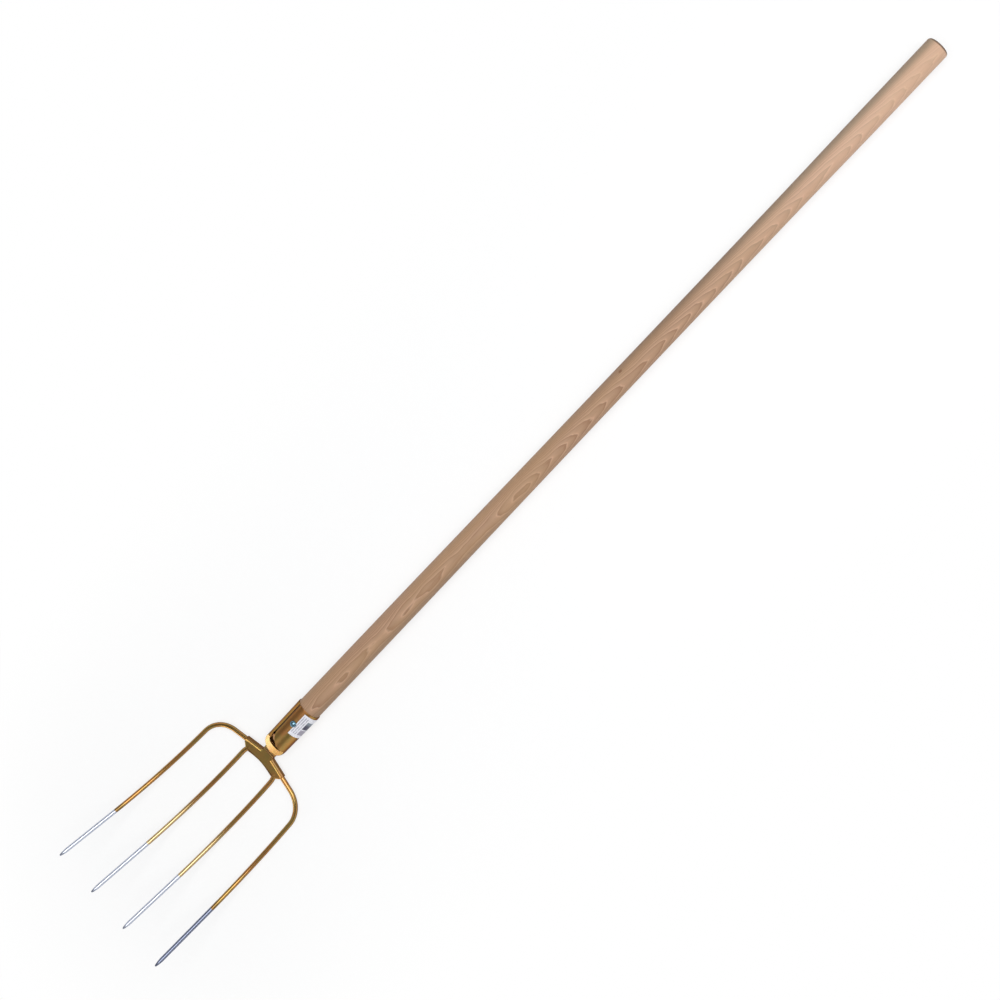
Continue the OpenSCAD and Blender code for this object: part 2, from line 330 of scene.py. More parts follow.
BEND_R = BEND_LEN / math.radians(TIP_SLOPE - ROOT_SLOPE)
POINT_START = TINE_LEN - POINT_LEN


# Meshes


def laid(points):
    """Points in the frame, in metres, from points in millimetres at the socket's mouth."""
    return (np.asarray(points, float) - [MIDDLE_X, 0.0, -AXIS_Z]) * MM


def mesh_object(name, points, faces):
    """A mesh in the frame, with its normals outwards."""
    mesh = bpy.data.meshes.new(name)
    mesh.from_pydata(laid(points).tolist(), [], [list(face) for face in faces])
    shell = bmesh.new()
    shell.from_mesh(mesh)
    bmesh.ops.recalc_face_normals(shell, faces=shell.faces)
    shell.to_mesh(mesh)
    shell.free()
    obj = bpy.data.objects.new(name, mesh)
    bpy.context.scene.collection.objects.link(obj)
    return obj


def finished(obj, cad_node, material, sharp_angle=SHARP_ANGLE):
    """Shades a piece, gives it its material and sets it in the place of its CAD node."""
    obj.data.shade_smooth()
    obj.data.set_sharp_from_angle(angle=math.radians(sharp_angle))
    obj.data.materials.clear()
    obj.data.materials.append(material)
    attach(obj, "root")
    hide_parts(cad_node)
    return obj


def circle(sides):
    """Angles of equal steps round a circle."""
    return 2 * np.pi * np.arange(sides) / sides


def wall_faces(rings, sides):
    """Faces between rings of points."""
    def face(i, j):
        after = (j + 1) % sides
        return (i * sides + j, i * sides + after, (i + 1) * sides + after, (i + 1) * sides + j)

    return [face(i, j) for i in range(rings - 1) for j in range(sides)]


def tube_faces(rings, sides):
    """Faces of a tube of rings, with both ends closed."""
    first = list(range(sides))[::-1]
    last = [(rings - 1) * sides + j for j in range(sides)]
    return wall_faces(rings, sides) + [first, last]


def turned(name, outline, sides):
    """Solid turned about the handle's axis from an outline of [x, radius]."""
    points = [[x, r * math.sin(a), r * math.cos(a)] for x, r in outline for a in circle(sides)]
    return mesh_object(name, points, tube_faces(len(outline), sides))


def rectangle(low, high, half_w):
    """Outline from low to high along x, with a half width."""
    return [[low, -half_w], [high, -half_w], [high, half_w], [low, half_w]]


def prism(name, outline, low, high, to_place):
    """Solid between two copies of an outline, taken to its place by a function."""
    points = [[x, y, z] for z in (low, high) for x, y in outline]
    return mesh_object(name, to_place(points), tube_faces(2, len(outline)))


def moved(obj, to_place):
    """Takes a mesh that was drawn in a plane of its own to its place on the fork."""
    spots = np.empty(3 * len(obj.data.vertices))
    obj.data.vertices.foreach_get("co", spots)
    drawn = spots.reshape(-1, 3) / MM + [MIDDLE_X, 0.0, -AXIS_Z]
    obj.data.vertices.foreach_set("co", laid(to_place(drawn)).ravel())
    obj.data.update()
    return obj


def baked(obj):
    """Applies an object's modifiers to its mesh."""
    seen = obj.evaluated_get(bpy.context.evaluated_depsgraph_get())
    shape = bpy.data.meshes.new_from_object(seen)
    obj.modifiers.clear()
    obj.data = shape
    return obj


def cut(obj, tool, operation="DIFFERENCE"):
    """Takes a tool away from an object, or joins it on, and deletes the tool."""
    step = obj.modifiers.new(operation, "BOOLEAN")
    step.operation = operation
    step.solver = "EXACT"
    step.object = tool
    baked(obj)
    bpy.data.objects.remove(tool)
    return obj


def joined(name, parts):
    """One object of several shells."""
    chosen = {"active_object": parts[0], "object": parts[0], "selected_editable_objects": parts}
    with bpy.context.temp_override(**chosen):
        bpy.ops.object.join()
    parts[0].name = name
    return parts[0]


def forged(obj, voxel, rounds, keep):
    """Melts the shells of an object into one skin with softened edges, thins it and settles it."""
    remesh = obj.modifiers.new("skin", "REMESH")
    remesh.mode = "VOXEL"
    remesh.voxel_size = voxel * MM
    soften = obj.modifiers.new("soften", "SMOOTH")
    soften.factor = SOFTEN
    soften.iterations = rounds
    thin = obj.modifiers.new("thin", "DECIMATE")
    thin.ratio = keep
    settle = obj.modifiers.new("settle", "SMOOTH")
    settle.factor = SETTLE
    settle.iterations = SETTLE_ROUNDS
    return baked(obj)


# Shader nodes


def srgb(red, green, blue):
    """Colour for a shader from values of 0 to 255."""
    parts = [v / 255 for v in (red, green, blue)]
    return tuple(v / 12.92 if v <= 0.04045 else ((v + 0.055) / 1.055) ** 2.4 for v in parts) + (1.0,)


def grey(value):
    return srgb(value, value, value)


def new_material(name):
    """An empty material and its node tree."""
    material = bpy.data.materials.new(name)
    material.use_nodes = True
    material.node_tree.nodes.clear()
    return material, material.node_tree


def feed(tree, socket, value):
    """Links a node's output to an input, or sets the input's own value."""
    if isinstance(value, bpy.types.NodeSocket):
        tree.links.new(value, socket)
    else:
        socket.default_value = value


def node(tree, kind, settings=None, inputs=None):
    """A new node with its settings, and its inputs by name or number."""
    made = tree.nodes.new(kind)
    for key, value in (settings or {}).items():
        setattr(made, key, value)
    for key, value in (inputs or {}).items():
        feed(tree, made.inputs[key], value)
    return made


def calc(tree, operation, *values):
    return node(tree, "ShaderNodeMath", {"operation": operation}, dict(enumerate(values))).outputs[0]


def chain(tree, operation, values):
    """One value from several, taken in order."""
    total = values[0]
    for value in values[1:]:
        total = calc(tree, operation, total, value)
    return total


def product(tree, *values):
    return chain(tree, "MULTIPLY", values)


def added(tree, *values):
    return chain(tree, "ADD", values)


def greatest(tree, *values):
    return chain(tree, "MAXIMUM", values)


def length(tree, *values):
    """Square root of the sum of squares."""
    total = calc(tree, "MULTIPLY", values[0], values[0])
    for value in values[1:]:
        total = calc(tree, "MULTIPLY_ADD", value, value, total)
    return calc(tree, "SQRT", total)


def between(tree, value, low, high):
    """0 at low, 1 at high and smooth in between."""
    made = node(tree, "ShaderNodeMapRange", {"interpolation_type": "SMOOTHSTEP"},
                {"Value": value, "From Min": low, "From Max": high})
    return made.outputs["Result"]


def band(tree, value, low, high, soft):
    """1 from low to high and 0 outside."""
    rise = between(tree, value, low - soft, low + soft)
    fall = between(tree, value, high + soft, high - soft)
    return product(tree, rise, fall)


def mixed(tree, factor, first, second, blend="MIX"):
    made = node(tree, "ShaderNodeMix", {"data_type": "RGBA", "blend_type": blend},
                {0: factor, 6: first, 7: second})
    return made.outputs[2]


def ramp(tree, value, stops):
    """Colour from stops of [value, colour]."""
    made = node(tree, "ShaderNodeValToRGB", None, {"Fac": value})
    line = made.color_ramp
    while len(line.elements) < len(stops):
        line.elements.new(0.5)
    for element, (place, colour) in zip(line.elements, stops):
        element.position = place
        element.color = colour
    return made.outputs["Color"]


def on_fork(tree):
    """Place on the fork, in millimetres from the middle of the socket's mouth."""
    place = node(tree, "ShaderNodeTexCoord").outputs["Object"]
    made = node(tree, "ShaderNodeVectorMath", {"operation": "MULTIPLY_ADD"},
                {0: place, 1: (1 / MM, 1 / MM, 1 / MM), 2: (MIDDLE_X, 0.0, -AXIS_Z)})
    return made.outputs[0]


def split(tree, vector):
    """The x, y and z of a vector."""
    return list(node(tree, "ShaderNodeSeparateXYZ", None, {0: vector}).outputs)


def facing(tree):
    """The x, y and z of the surface's normal."""
    return split(tree, node(tree, "ShaderNodeNewGeometry").outputs["Normal"])


def noise(tree, place, grain, detail=2.0, roughness=0.5):
    """Noise with a grain of the given sizes along x, y and z, in millimetres."""
    shares = [1 / size for size in grain]
    scaled = node(tree, "ShaderNodeVectorMath", {"operation": "MULTIPLY"}, {0: place, 1: shares}).outputs[0]
    made = node(tree, "ShaderNodeTexNoise", None,
                {"Vector": scaled, "Scale": 1.0, "Detail": detail, "Roughness": roughness})
    return made.outputs["Fac"]


def swing(tree, value, reach):
    """Noise about zero, times a reach."""
    return calc(tree, "MULTIPLY_ADD", value, 2 * reach, -reach)


def varied(tree, value, base, reach):
    """A base that grows by up to a reach with a noise."""
    return calc(tree, "MULTIPLY_ADD", value, reach, base)


def bumped(tree, height, strength, depth):
    """Normal for a relief with a depth in millimetres."""
    inputs = {"Height": height, "Strength": strength, "Distance": depth * MM}
    return node(tree, "ShaderNodeBump", None, inputs).outputs["Normal"]


def principled(tree, **inputs):
    """Principled shader, with the spaces in its inputs' names written as underscores."""
    named = {key.replace("_", " "): value for key, value in inputs.items()}
    return node(tree, "ShaderNodeBsdfPrincipled", None, named).outputs[0]


def blended(tree, share, first, second):
    """Two shaders, with a share of the second."""
    return node(tree, "ShaderNodeMixShader", None, {0: share, 1: first, 2: second}).outputs[0]


def surface(tree, shader):
    node(tree, "ShaderNodeOutputMaterial", None, {"Surface": shader})


# Colours of the wood
RING_STOPS = [(0.0, srgb(208, 176, 147)), (0.12, srgb(168, 128, 99)), (0.4, srgb(185, 147, 117)),
              (0.8, srgb(192, 156, 126)), (0.92, srgb(196, 160, 130)), (1.0, srgb(206, 173, 144))]
FIBRE_STOPS = [(0.3, grey(114)), (0.7, grey(142))]
TAN_WOOD = srgb(190, 154, 114)
# Painted light: the colour the handle is drawn towards at its top end
PAINTED_LIGHT_WOOD = srgb(238, 218, 190)
SHADED_WOOD = srgb(126, 100, 80)
PORE_BROWN = srgb(140, 100, 74)
KNOT_BROWN = srgb(120, 82, 58)
# Painted shade, with the darker end grain at the top end
SHADE_AND_END_GRAIN_BROWN = srgb(80, 56, 38)

# Colours of the lacquer and the metals
RED_GOLD = srgb(182, 133, 74)
GREEN_GOLD = srgb(160, 135, 74)
BRONZE = srgb(161, 105, 62)
# Painted highlight
HIGHLIGHT_GOLD = srgb(202, 176, 131)
# Painted shade, on steep flanks and wherever a finish gives shade
PAINTED_SHADE_BROWN = srgb(90, 58, 38)
LACQUER_TINT = srgb(146, 112, 62)
BRIGHT_STEEL = [(0.3, srgb(180, 186, 202)), (0.7, srgb(212, 216, 226))]
# Painted shade: a darker copy of the bright steel, for the right outer tine
SHADED_STEEL = [(0.3, srgb(98, 104, 126)), (0.7, srgb(140, 146, 164))]
TIP_STEEL = srgb(92, 98, 120)
STEEL_TINT = srgb(130, 138, 170)
ZINC_STOPS = [(0.3, srgb(76, 112, 130)), (0.7, srgb(124, 156, 172))]
ZINC_TINT = srgb(40, 74, 94)

# Colours of the label
PAPER_STOPS = [(0.3, srgb(222, 222, 230)), (0.7, srgb(234, 234, 240))]
RULE_INK = srgb(120, 118, 134)
DARK_INK = srgb(56, 56, 78)
FADED_INK = srgb(124, 134, 144)
PALE_INK = srgb(146, 140, 156)


# Materials


def wood():
    """Pale hardwood: growth rings that surface in long loops, fibres, pores and a small knot, with painted
    light towards the top, painted shade on its sides and in its seat, and a dark rim of painted shade and
    end grain at its top end.
    """
    material, tree = new_material("turned_wood")
    place = on_fork(tree)
    x, y, z = split(tree, place)
    heart_y = calc(tree, "MULTIPLY_ADD", between(tree, x, LOOP_X, WAIST_START), HEART_TURN, HEART_Y)
    from_heart = length(tree, calc(tree, "SUBTRACT", y, heart_y), calc(tree, "SUBTRACT", z, HEART_Z))
    turns = calc(tree, "MULTIPLY_ADD", x, 2 * math.pi / LOOP_LEN, -2 * math.pi * LOOP_X / LOOP_LEN)
    loops = product(tree, calc(tree, "COSINE", turns), between(tree, x, *LOOPS_END_X), LOOP_RISE)
    leaning = product(tree, greatest(tree, calc(tree, "SUBTRACT", x, LEAN_FROM), 0.0), RING_LEAN)
    waver = swing(tree, noise(tree, place, WAVER_GRAIN), WAVER_REACH)
    drift = swing(tree, noise(tree, place, DRIFT_GRAIN, 1.0), DRIFT_REACH)
    sloping = added(tree, leaning, drift, waver)
    drawn = added(tree, from_heart, loops, sloping)
    rings = ramp(tree, calc(tree, "FRACT", calc(tree, "DIVIDE", drawn, RING_STEP)), RING_STOPS)
    tone = between(tree, noise(tree, place, TONE_GRAIN), 0.38, 0.62)
    toned = mixed(tree, product(tree, tone, 0.35), rings, TAN_WOOD)
    # Painted light: paler towards the top end
    painted_light = mixed(tree, product(tree, between(tree, x, *PAINTED_LIGHT_X), 0.46), toned, PAINTED_LIGHT_WOOD)
    # Painted shade: darker on the left side near the top and on the right side lower down
    left_shade = product(tree, between(tree, y, *LEFT_SHADE_Y), between(tree, x, *LEFT_SHADE_X), 0.55)
    right_shade = product(tree, between(tree, y, *RIGHT_SHADE_Y), between(tree, x, *RIGHT_SHADE_X), 0.28)
    shaded = mixed(tree, greatest(tree, left_shade, right_shade), painted_light, SHADED_WOOD)
    fibres = noise(tree, place, FIBRE_GRAIN, 4.0, 0.6)
    streaked = mixed(tree, 0.4, shaded, ramp(tree, fibres, FIBRE_STOPS), "OVERLAY")
    pores = between(tree, noise(tree, place, PORE_GRAIN), 0.66, 0.74)
    pored = mixed(tree, product(tree, pores, 0.3), streaked, PORE_BROWN)
    knot_x = product(tree, calc(tree, "SUBTRACT", x, KNOT[0]), KNOT_STRETCH)
    from_knot = length(tree, knot_x, calc(tree, "SUBTRACT", y, KNOT[1]))
    knot = product(tree, between(tree, from_knot, KNOT_R, KNOT_CORE_R), between(tree, z, *KNOT_FRONT_Z))
    knotted = mixed(tree, product(tree, knot, 0.7), pored, KNOT_BROWN)
    # Painted shade and darker end grain on the rim of the top end, and painted shade where the handle sits
    # in the socket
    end_rim = product(tree, between(tree, x, *END_RIM_X), between(tree, length(tree, y, z), *END_RIM_R))
    shade_and_end_grain = product(tree, greatest(tree, end_rim, between(tree, x, *SEAT_SHADE_X)), 0.85)
    colour = mixed(tree, shade_and_end_grain, knotted, SHADE_AND_END_GRAIN_BROWN)
    relief = calc(tree, "MULTIPLY_ADD", pores, -0.5, fibres)
    surface(tree, principled(tree, Base_Color=colour, Roughness=varied(tree, fibres, 0.48, 0.16),
                             Normal=bumped(tree, relief, 0.25, 0.15), Specular_IOR_Level=0.3))
    return material


def lacquer_shader(tree, place, roughness, dent, copper=0.0, shade=0.0, thin=0.0, coat=0.12):
    """Gold-bronze lacquer over steel: redder where thick, paler with a painted highlight where the thin
    share asks, and brown with painted shade on steep flanks and where shade is given.
    """
    cloud = noise(tree, place, CLOUD_GRAIN, 3.0)
    patch = noise(tree, place, PATCH_GRAIN, 4.0, 0.6)
    gold = mixed(tree, between(tree, cloud, 0.35, 0.65), RED_GOLD, GREEN_GOLD)
    thick = added(tree, product(tree, between(tree, patch, 0.5, 0.72), 0.45), copper)
    bronze = mixed(tree, thick, gold, BRONZE)
    # Painted highlight: the thin share makes the lacquer paler
    highlighted = mixed(tree, thin, bronze, HIGHLIGHT_GOLD)
    # Painted shade: brown on steep flanks, and wherever shade is given
    flank_shade = between(tree, calc(tree, "ABSOLUTE", facing(tree)[2]), 0.6, 0.2)
    colour = mixed(tree, greatest(tree, product(tree, flank_shade, 0.6), shade), highlighted, PAINTED_SHADE_BROWN)
    normal = bumped(tree, noise(tree, place, DENT_GRAIN), dent, 1.0)
    return principled(tree, Base_Color=colour, Metallic=1.0, Roughness=varied(tree, patch, roughness, 0.1),
                      Normal=normal, Specular_Tint=LACQUER_TINT, Coat_Weight=0.2, Coat_Roughness=coat)


def head_finish():
    """Lacquer on the crosshead, with painted shade at the stem's crease, on the sides that face the handle
    and along the lower edge.
    """
    material, tree = new_material("gold_lacquer")
    place = on_fork(tree)
    x, y = split(tree, place)[:2]
    # Painted shade at the stem's crease, on the sides that face the handle and along the lower edge
    crease = band(tree, x, STEM_END - STEM_CREASE_LEN, STEM_END, STEM_CREASE_SOFT)
    hollowed = calc(tree, "MULTIPLY_ADD", product(tree, y, y), LOWER_HOLLOW / INNER_REACH ** 2, x)
    lower_edge = between(tree, hollowed, *[HEAD_X + LOWER_HOLLOW + above for above in LOWER_EDGE])
    back_edge = between(tree, facing(tree)[0], *BACK_EDGE_FACING)
    shade = product(tree, greatest(tree, crease, back_edge, lower_edge), 0.75)
    surface(tree, lacquer_shader(tree, place, roughness=0.24, dent=0.05, shade=shade, coat=0.22))
    return material


def socket_finish():
    """Lacquer that has run thick between seam and label, with painted shade beside the seam, in the creases,
    in the bore and on the saddle's low side, and a painted highlight high on the saddle.
    """
    material, tree = new_material("gold_lacquer_on_sheet")
    place = on_fork(tree)
    x, y, z = split(tree, place)
    angle = calc(tree, "DEGREES", calc(tree, "ARCTAN2", y, z))
    ragged = added(tree, angle, swing(tree, noise(tree, place, RUNS_GRAIN, 3.0), RUNS_REACH))
    runs_band = band(tree, ragged, LABEL_ANGLE, SEAM_ANGLE - RUNS_SEAM_GAP, RUNS_SOFT)
    runs = product(tree, runs_band, between(tree, x, *RUNS_X), 0.6)
    # Painted shade beside the seam's lower end
    seam_band = band(tree, angle, *SEAM_SHADE, SEAM_SHADE_SOFT)
    seam = product(tree, seam_band, between(tree, x, *SEAM_SHADE_X), 0.8)
    # Painted shade in the crease at the saddle's foot
    crease = product(tree, band(tree, x, SADDLE_X - SADDLE_LEDGE, SADDLE_X, SADDLE_CREASE_SOFT), 0.7)
    slope_z = calc(tree, "MULTIPLY_ADD", x, tand(SADDLE_SLOPE), SADDLE_Z - SADDLE_X * tand(SADDLE_SLOPE))
    under = calc(tree, "SUBTRACT", slope_z, z)
    # Painted shade in the bore under the saddle
    in_bore = product(tree, between(tree, length(tree, y, z), *INSIDE_R), between(tree, x, *INSIDE_X))
    inside = product(tree, between(tree, under, *UNDER_SADDLE), in_bore, 0.8)
    near = between(tree, calc(tree, "ABSOLUTE", under), *NEAR_SADDLE)
    on_saddle = product(tree, near, between(tree, x, *SADDLE_TOP_X))
    # Painted shade on the saddle's low side
    low_side = product(tree, on_saddle, between(tree, y, *LOW_SIDE_Y), 0.4)
    shade = greatest(tree, seam, crease, inside, low_side)
    # Painted highlight on the saddle's high side
    thin = product(tree, on_saddle, between(tree, y, *HIGH_SIDE_Y), 0.35)
    surface(tree, lacquer_shader(tree, place, roughness=0.3, dent=0.04, copper=runs, shade=shade, thin=thin))
    return material


def tine_finish(name, steel_stops):
    """Lacquer down to the dip line, then bare ground steel; above the dip line the inner tines get a painted
    highlight and the outer tines painted shade.
    """
    material, tree = new_material(name)
    place = on_fork(tree)
    x, y = split(tree, place)[:2]
    scratches = noise(tree, place, SCRATCH_GRAIN, 3.0)
    tip_x = bent(TINE_LEN, 0.0)[0]
    near_tip = product(tree, between(tree, x, *[tip_x + above for above in TIP_SHADE]), 0.5)
    colour = mixed(tree, near_tip, ramp(tree, scratches, steel_stops), TIP_STEEL)
    steel = principled(tree, Base_Color=colour, Metallic=1.0, Roughness=varied(tree, scratches, 0.14, 0.14),
                       Normal=bumped(tree, scratches, 0.05, 0.1), Specular_Tint=STEEL_TINT)
    ragged = added(tree, x, swing(tree, noise(tree, place, DIP_GRAIN), DIP_REACH))
    level = calc(tree, "MULTIPLY_ADD", y, DIP_TILT, ragged)
    dip_line = bent(BARE_FROM, 0.0)[0]
    bare = between(tree, level, dip_line + DIP_SOFT, dip_line - DIP_SOFT)
    aside = calc(tree, "ABSOLUTE", y)
    # Painted shade on the outer tines just above the dip line
    dip_shade_run = between(tree, level, *[dip_line + above for above in DIP_SHADE])
    dip_shade = product(tree, between(tree, aside, INNER_Y, OUTER_Y), dip_shade_run, 0.45)
    # Painted highlight on the inner tines above the dip line
    highlight_run = between(tree, level, *[dip_line + above for above in HIGHLIGHT_ABOVE_DIP])
    thin = product(tree, between(tree, aside, OUTER_Y, INNER_Y), highlight_run)
    lacquer = lacquer_shader(tree, place, roughness=0.14, dent=0.03, copper=0.12, shade=dip_shade, thin=thin)
    surface(tree, blended(tree, bare, lacquer, steel))
    return material


def zinc():
    """Bright zinc with its blue tint."""
    material, tree = new_material("bright_zinc")
    crystals = noise(tree, on_fork(tree), CRYSTAL_GRAIN, 3.0)
    surface(tree, principled(tree, Base_Color=ramp(tree, crystals, ZINC_STOPS), Metallic=1.0,
                             Specular_Tint=ZINC_TINT, Roughness=varied(tree, crystals, 0.12, 0.2),
                             Normal=bumped(tree, crystals, 0.12, 0.2)))
    return material


def paper():
    """White sticker with thin broken rules and two grey blocks, drawn on its unrolled face."""
    material, tree = new_material("printed_paper")
    u, v = split(tree, node(tree, "ShaderNodeUVMap").outputs[0])[:2]
    place = on_fork(tree)
    rows = calc(tree, "GREATER_THAN", calc(tree, "FRACT", calc(tree, "MULTIPLY", v, RULE_ROWS)), 0.5)
    broken = between(tree, noise(tree, place, PRINT_GRAIN, 3.0), 0.34, 0.46)
    rules = product(tree, rows, broken, band(tree, u, *RULES_U, 0.01), band(tree, v, *RULES_V, 0.005))
    strip = band(tree, v, *BLOCKS_V, 0.02)
    dark = product(tree, strip, band(tree, u, *DARK_BLOCK_U, 0.012))
    pale = product(tree, strip, band(tree, u, *PALE_BLOCK_U, 0.012))
    fibre = noise(tree, place, PAPER_GRAIN, 3.0)
    ruled = mixed(tree, product(tree, rules, 0.6), ramp(tree, fibre, PAPER_STOPS), RULE_INK)
    ink = mixed(tree, between(tree, u, *INK_FADE_U), DARK_INK, FADED_INK)
    blocked = mixed(tree, dark, ruled, ink)
    colour = mixed(tree, product(tree, pale, 0.9), blocked, PALE_INK)
    surface(tree, principled(tree, Base_Color=colour, Roughness=varied(tree, fibre, 0.35, 0.15),
                             Normal=bumped(tree, fibre, 0.05, 0.1)))
    return material


# Tines


def slope(v):
    """Slope of the tines at length v below the crosshead."""
    return ROOT_SLOPE + (TIP_SLOPE - ROOT_SLOPE) * min(max(v / BEND_LEN, 0.0), 1.0)


def bent(v, y):
    """Place of the point at length v and side distance y, on the sheet that the tines are bent along."""
    p = slope(v)
    above, below = min(v, 0.0), max(v - BEND_LEN, 0.0)
    x = HEAD_X - BEND_R * (sind(p) - sind(ROOT_SLOPE)) - above * cosd(ROOT_SLOPE) - below * cosd(TIP_SLOPE)
    z = HEAD_Z + BEND_R * (cosd(ROOT_SLOPE) - cosd(p)) + above * sind(ROOT_SLOPE) + below * sind(TIP_SLOPE)
    return np.array([x, y, z])


def tine_half(v, end):
    """Half width or half thickness at length v: a long taper, the ground point, then a rounded nose."""
    if v <= POINT_START:
        return ROOT_R - BOX_MARGIN - (ROOT_R - END_R) * max(v, 0.0) / POINT_START
    ground = END_R - BOX_MARGIN - (END_R - end) * ((v - POINT_START) / POINT_LEN) ** POINT_CURVE
    into_nose = max(v - TINE_LEN + NOSE_LEN, 0.0) / NOSE_LEN
    return ground * math.sqrt(1 - into_nose ** 2)


def turn(v, y, r, first, last, steps):
    """Stations of [length, side distance, heading] round a bend about [v, y]."""
    return [(v - r * sind(h), y + r * cosd(h), h) for h in np.linspace(first, last, steps)]


def straight(v, y, r, fan, steps):
    """Stations of the long run after a bend about [v, y], and of the point."""
    start_v, start_y = v - r * sind(fan), y + r * cosd(fan)
    nose_start = TINE_LEN - NOSE_LEN
    run = np.linspace(start_v, POINT_START, steps)[1:]
    point = np.linspace(POINT_START, nose_start, POINT_STEPS)[1:]
    nose = [nose_start + NOSE_LEN * sind(a) for a in NOSE_ANGLES]
    return [(s, start_y + (s - start_v) * tand(fan), fan) for s in (*run, *point, *nose)]


def seated(stations):
    """Stations that start inside the crosshead."""
    v, y, h = stations[0]
    return [(v - TINE_SEAT * cosd(h), y - TINE_SEAT * sind(h), h)] + stations


def outer_stations():
    """Stations of an outer tine: along the arm, round the shoulder and down to the point."""
    heading = 90.0 - ARM_DROOP
    y = OUTER_REACH - SHOULDER_R * cosd(OUTER_FAN)
    start_y = y + SHOULDER_R * cosd(heading)
    v = -ARM_RISE + (start_y - ARM_REACH) * tand(ARM_DROOP) + SHOULDER_R * sind(heading)
    shoulder = turn(v, y, SHOULDER_R, heading, OUTER_FAN, SHOULDER_STEPS)
    long_run = straight(v, y, SHOULDER_R, OUTER_FAN, OUTER_STEPS)
    return seated([(-ARM_RISE, ARM_REACH, heading)] + shoulder + long_run)


def inner_stations():
    """Stations of an inner tine: round the bend at its root and down to the point."""
    v = INNER_BEND_R * sind(INNER_HEADING)
    y = INNER_REACH - INNER_BEND_R * cosd(INNER_HEADING)
    corner = turn(v, y, INNER_BEND_R, INNER_HEADING, INNER_FAN, CORNER_STEPS)
    return seated(corner + straight(v, y, INNER_BEND_R, INNER_FAN, INNER_STEPS))


def tine(name, stations, side, material):
    """Tine swept along its stations, on the left for side 1 and on the right for side -1."""
    points = []
    for v, y, h in stations:
        p = slope(v)
        half_w, half_t = tine_half(v, POINT_HALF_W), tine_half(v, POINT_HALF_T)
        across = np.array([sind(h) * cosd(p), cosd(h), -sind(h) * sind(p)])
        out = np.array([sind(p), 0.0, cosd(p)])
        for a in circle(TINE_SIDES):
            spot = bent(v, y) + half_w * math.cos(a) * across + half_t * math.sin(a) * out
            points.append(spot * [1, side, 1])
    obj = mesh_object("shown_" + name, points, tube_faces(len(stations), TINE_SIDES))
    return finished(obj, name, material)


# Crosshead


def on_crosshead(points):
    """Points in the crosshead's sloping plane, from the middle of its lower edge."""
    x, y, z = np.asarray(points, float).T
    return np.stack([HEAD_X + x * cosd(ROOT_SLOPE) + z * sind(ROOT_SLOPE), y,
                     HEAD_Z - x * sind(ROOT_SLOPE) + z * cosd(ROOT_SLOPE)], 1)


def plate_outline():
    """Outline of the crosshead: the left half from the stem round the arm, then its mirror image."""
    arm_across = np.array([cosd(ARM_DROOP), sind(ARM_DROOP)])
    arm_end = np.array([ARM_RISE, ARM_REACH])
    arm_top = arm_end + ARM_EDGE * arm_across
    fillet_y = STEM_W / 2 + STEM_FILLET
    fillet_x = arm_top[0] + (STEM_FILLET - (fillet_y - arm_top[1]) * sind(ARM_DROOP)) / cosd(ARM_DROOP)
    inner_across = np.array([sind(INNER_HEADING), cosd(INNER_HEADING)])
    outside, inside = [np.array([0.0, INNER_REACH]) + k * BOSS_R * inner_across for k in (1, -1)]
    half = [[PLATE_LEN, STEM_W / 2]]
    half += [[fillet_x + STEM_FILLET * cosd(a), fillet_y + STEM_FILLET * sind(a)]
             for a in np.linspace(-90.0, ARM_DROOP - 180.0, FILLET_STEPS)]
    half += [arm_top, arm_end - ROOT_R * arm_across, outside, inside]
    half += [[inside[0] + (LOWER_HOLLOW - inside[0]) * cosd(90.0 * t), inside[1] * t]
             for t in np.linspace(1, 0, HOLLOW_STEPS)[1:]]
    return [list(p) for p in half] + [[x, -y] for x, y in half[-2::-1]]


def bar(name, start, end, radius, lift=0.0):
    """Round bar along the crosshead's plane, flat at its start and rounded at its far end."""
    start, end = np.array([*start, lift]), np.array([*end, lift])
    along = (end - start) / np.linalg.norm(end - start)
    up = np.array([0.0, 0.0, 1.0])
    across = np.cross(along, up)
    rings = [(start, radius)]
    rings += [(end + along * radius * sind(a), radius * cosd(a))
              for a in np.linspace(0.0, ROUND_END_ANGLE, BAR_STEPS)]
    points = [c + r * (math.cos(t) * across + math.sin(t) * up) for c, r in rings for t in circle(BAR_SIDES)]
    return mesh_object(name, points, tube_faces(len(rings), BAR_SIDES))


def crosshead(material):
    """Flat plate, a round rim on each arm and a boss at each inner tine, forged into one."""
    parts = [prism("plate", plate_outline(), -PLATE_T / 2, PLATE_T / 2, np.asarray)]
    rim_x, rim_y = ARM_RISE + RIM_SHIFT * cosd(ARM_DROOP), ARM_REACH + RIM_SHIFT * sind(ARM_DROOP)
    rim_len = (ARM_REACH - STEM_W / 2) / cosd(ARM_DROOP)
    for side in (1, -1):
        rim_end = (rim_x + rim_len * sind(ARM_DROOP), side * (rim_y - rim_len * cosd(ARM_DROOP)))
        parts.append(bar("rim", (rim_x, side * rim_y), rim_end, RIM_R, RIM_LIFT))
        boss_end = (BOSS_LEN * cosd(INNER_HEADING), side * (INNER_REACH - BOSS_LEN * sind(INNER_HEADING)))
        parts.append(bar("boss", (0.0, side * INNER_REACH), boss_end, BOSS_R))
    skin = forged(joined("shown_crosshead", parts), HEAD_VOXEL, HEAD_ROUNDS, HEAD_KEEP)
    return finished(moved(skin, on_crosshead), "crosshead", material, FORGED_SHARP_ANGLE)


# Socket


def skin_r(depth):
    """Radius of the socket's outside at a depth below its mouth."""
    return MOUTH_R - NARROWING * depth / TUBE_LEN


def bowl_outline(growth):
    """Outline of the socket's rounded lower end, grown by a length."""
    return [[-TUBE_LEN - (BOWL_LEN + growth) * sind(a), (TUBE_END_R + growth) * cosd(a)]
            for a in np.linspace(0.0, BOWL_END_ANGLE, BOWL_STEPS)]


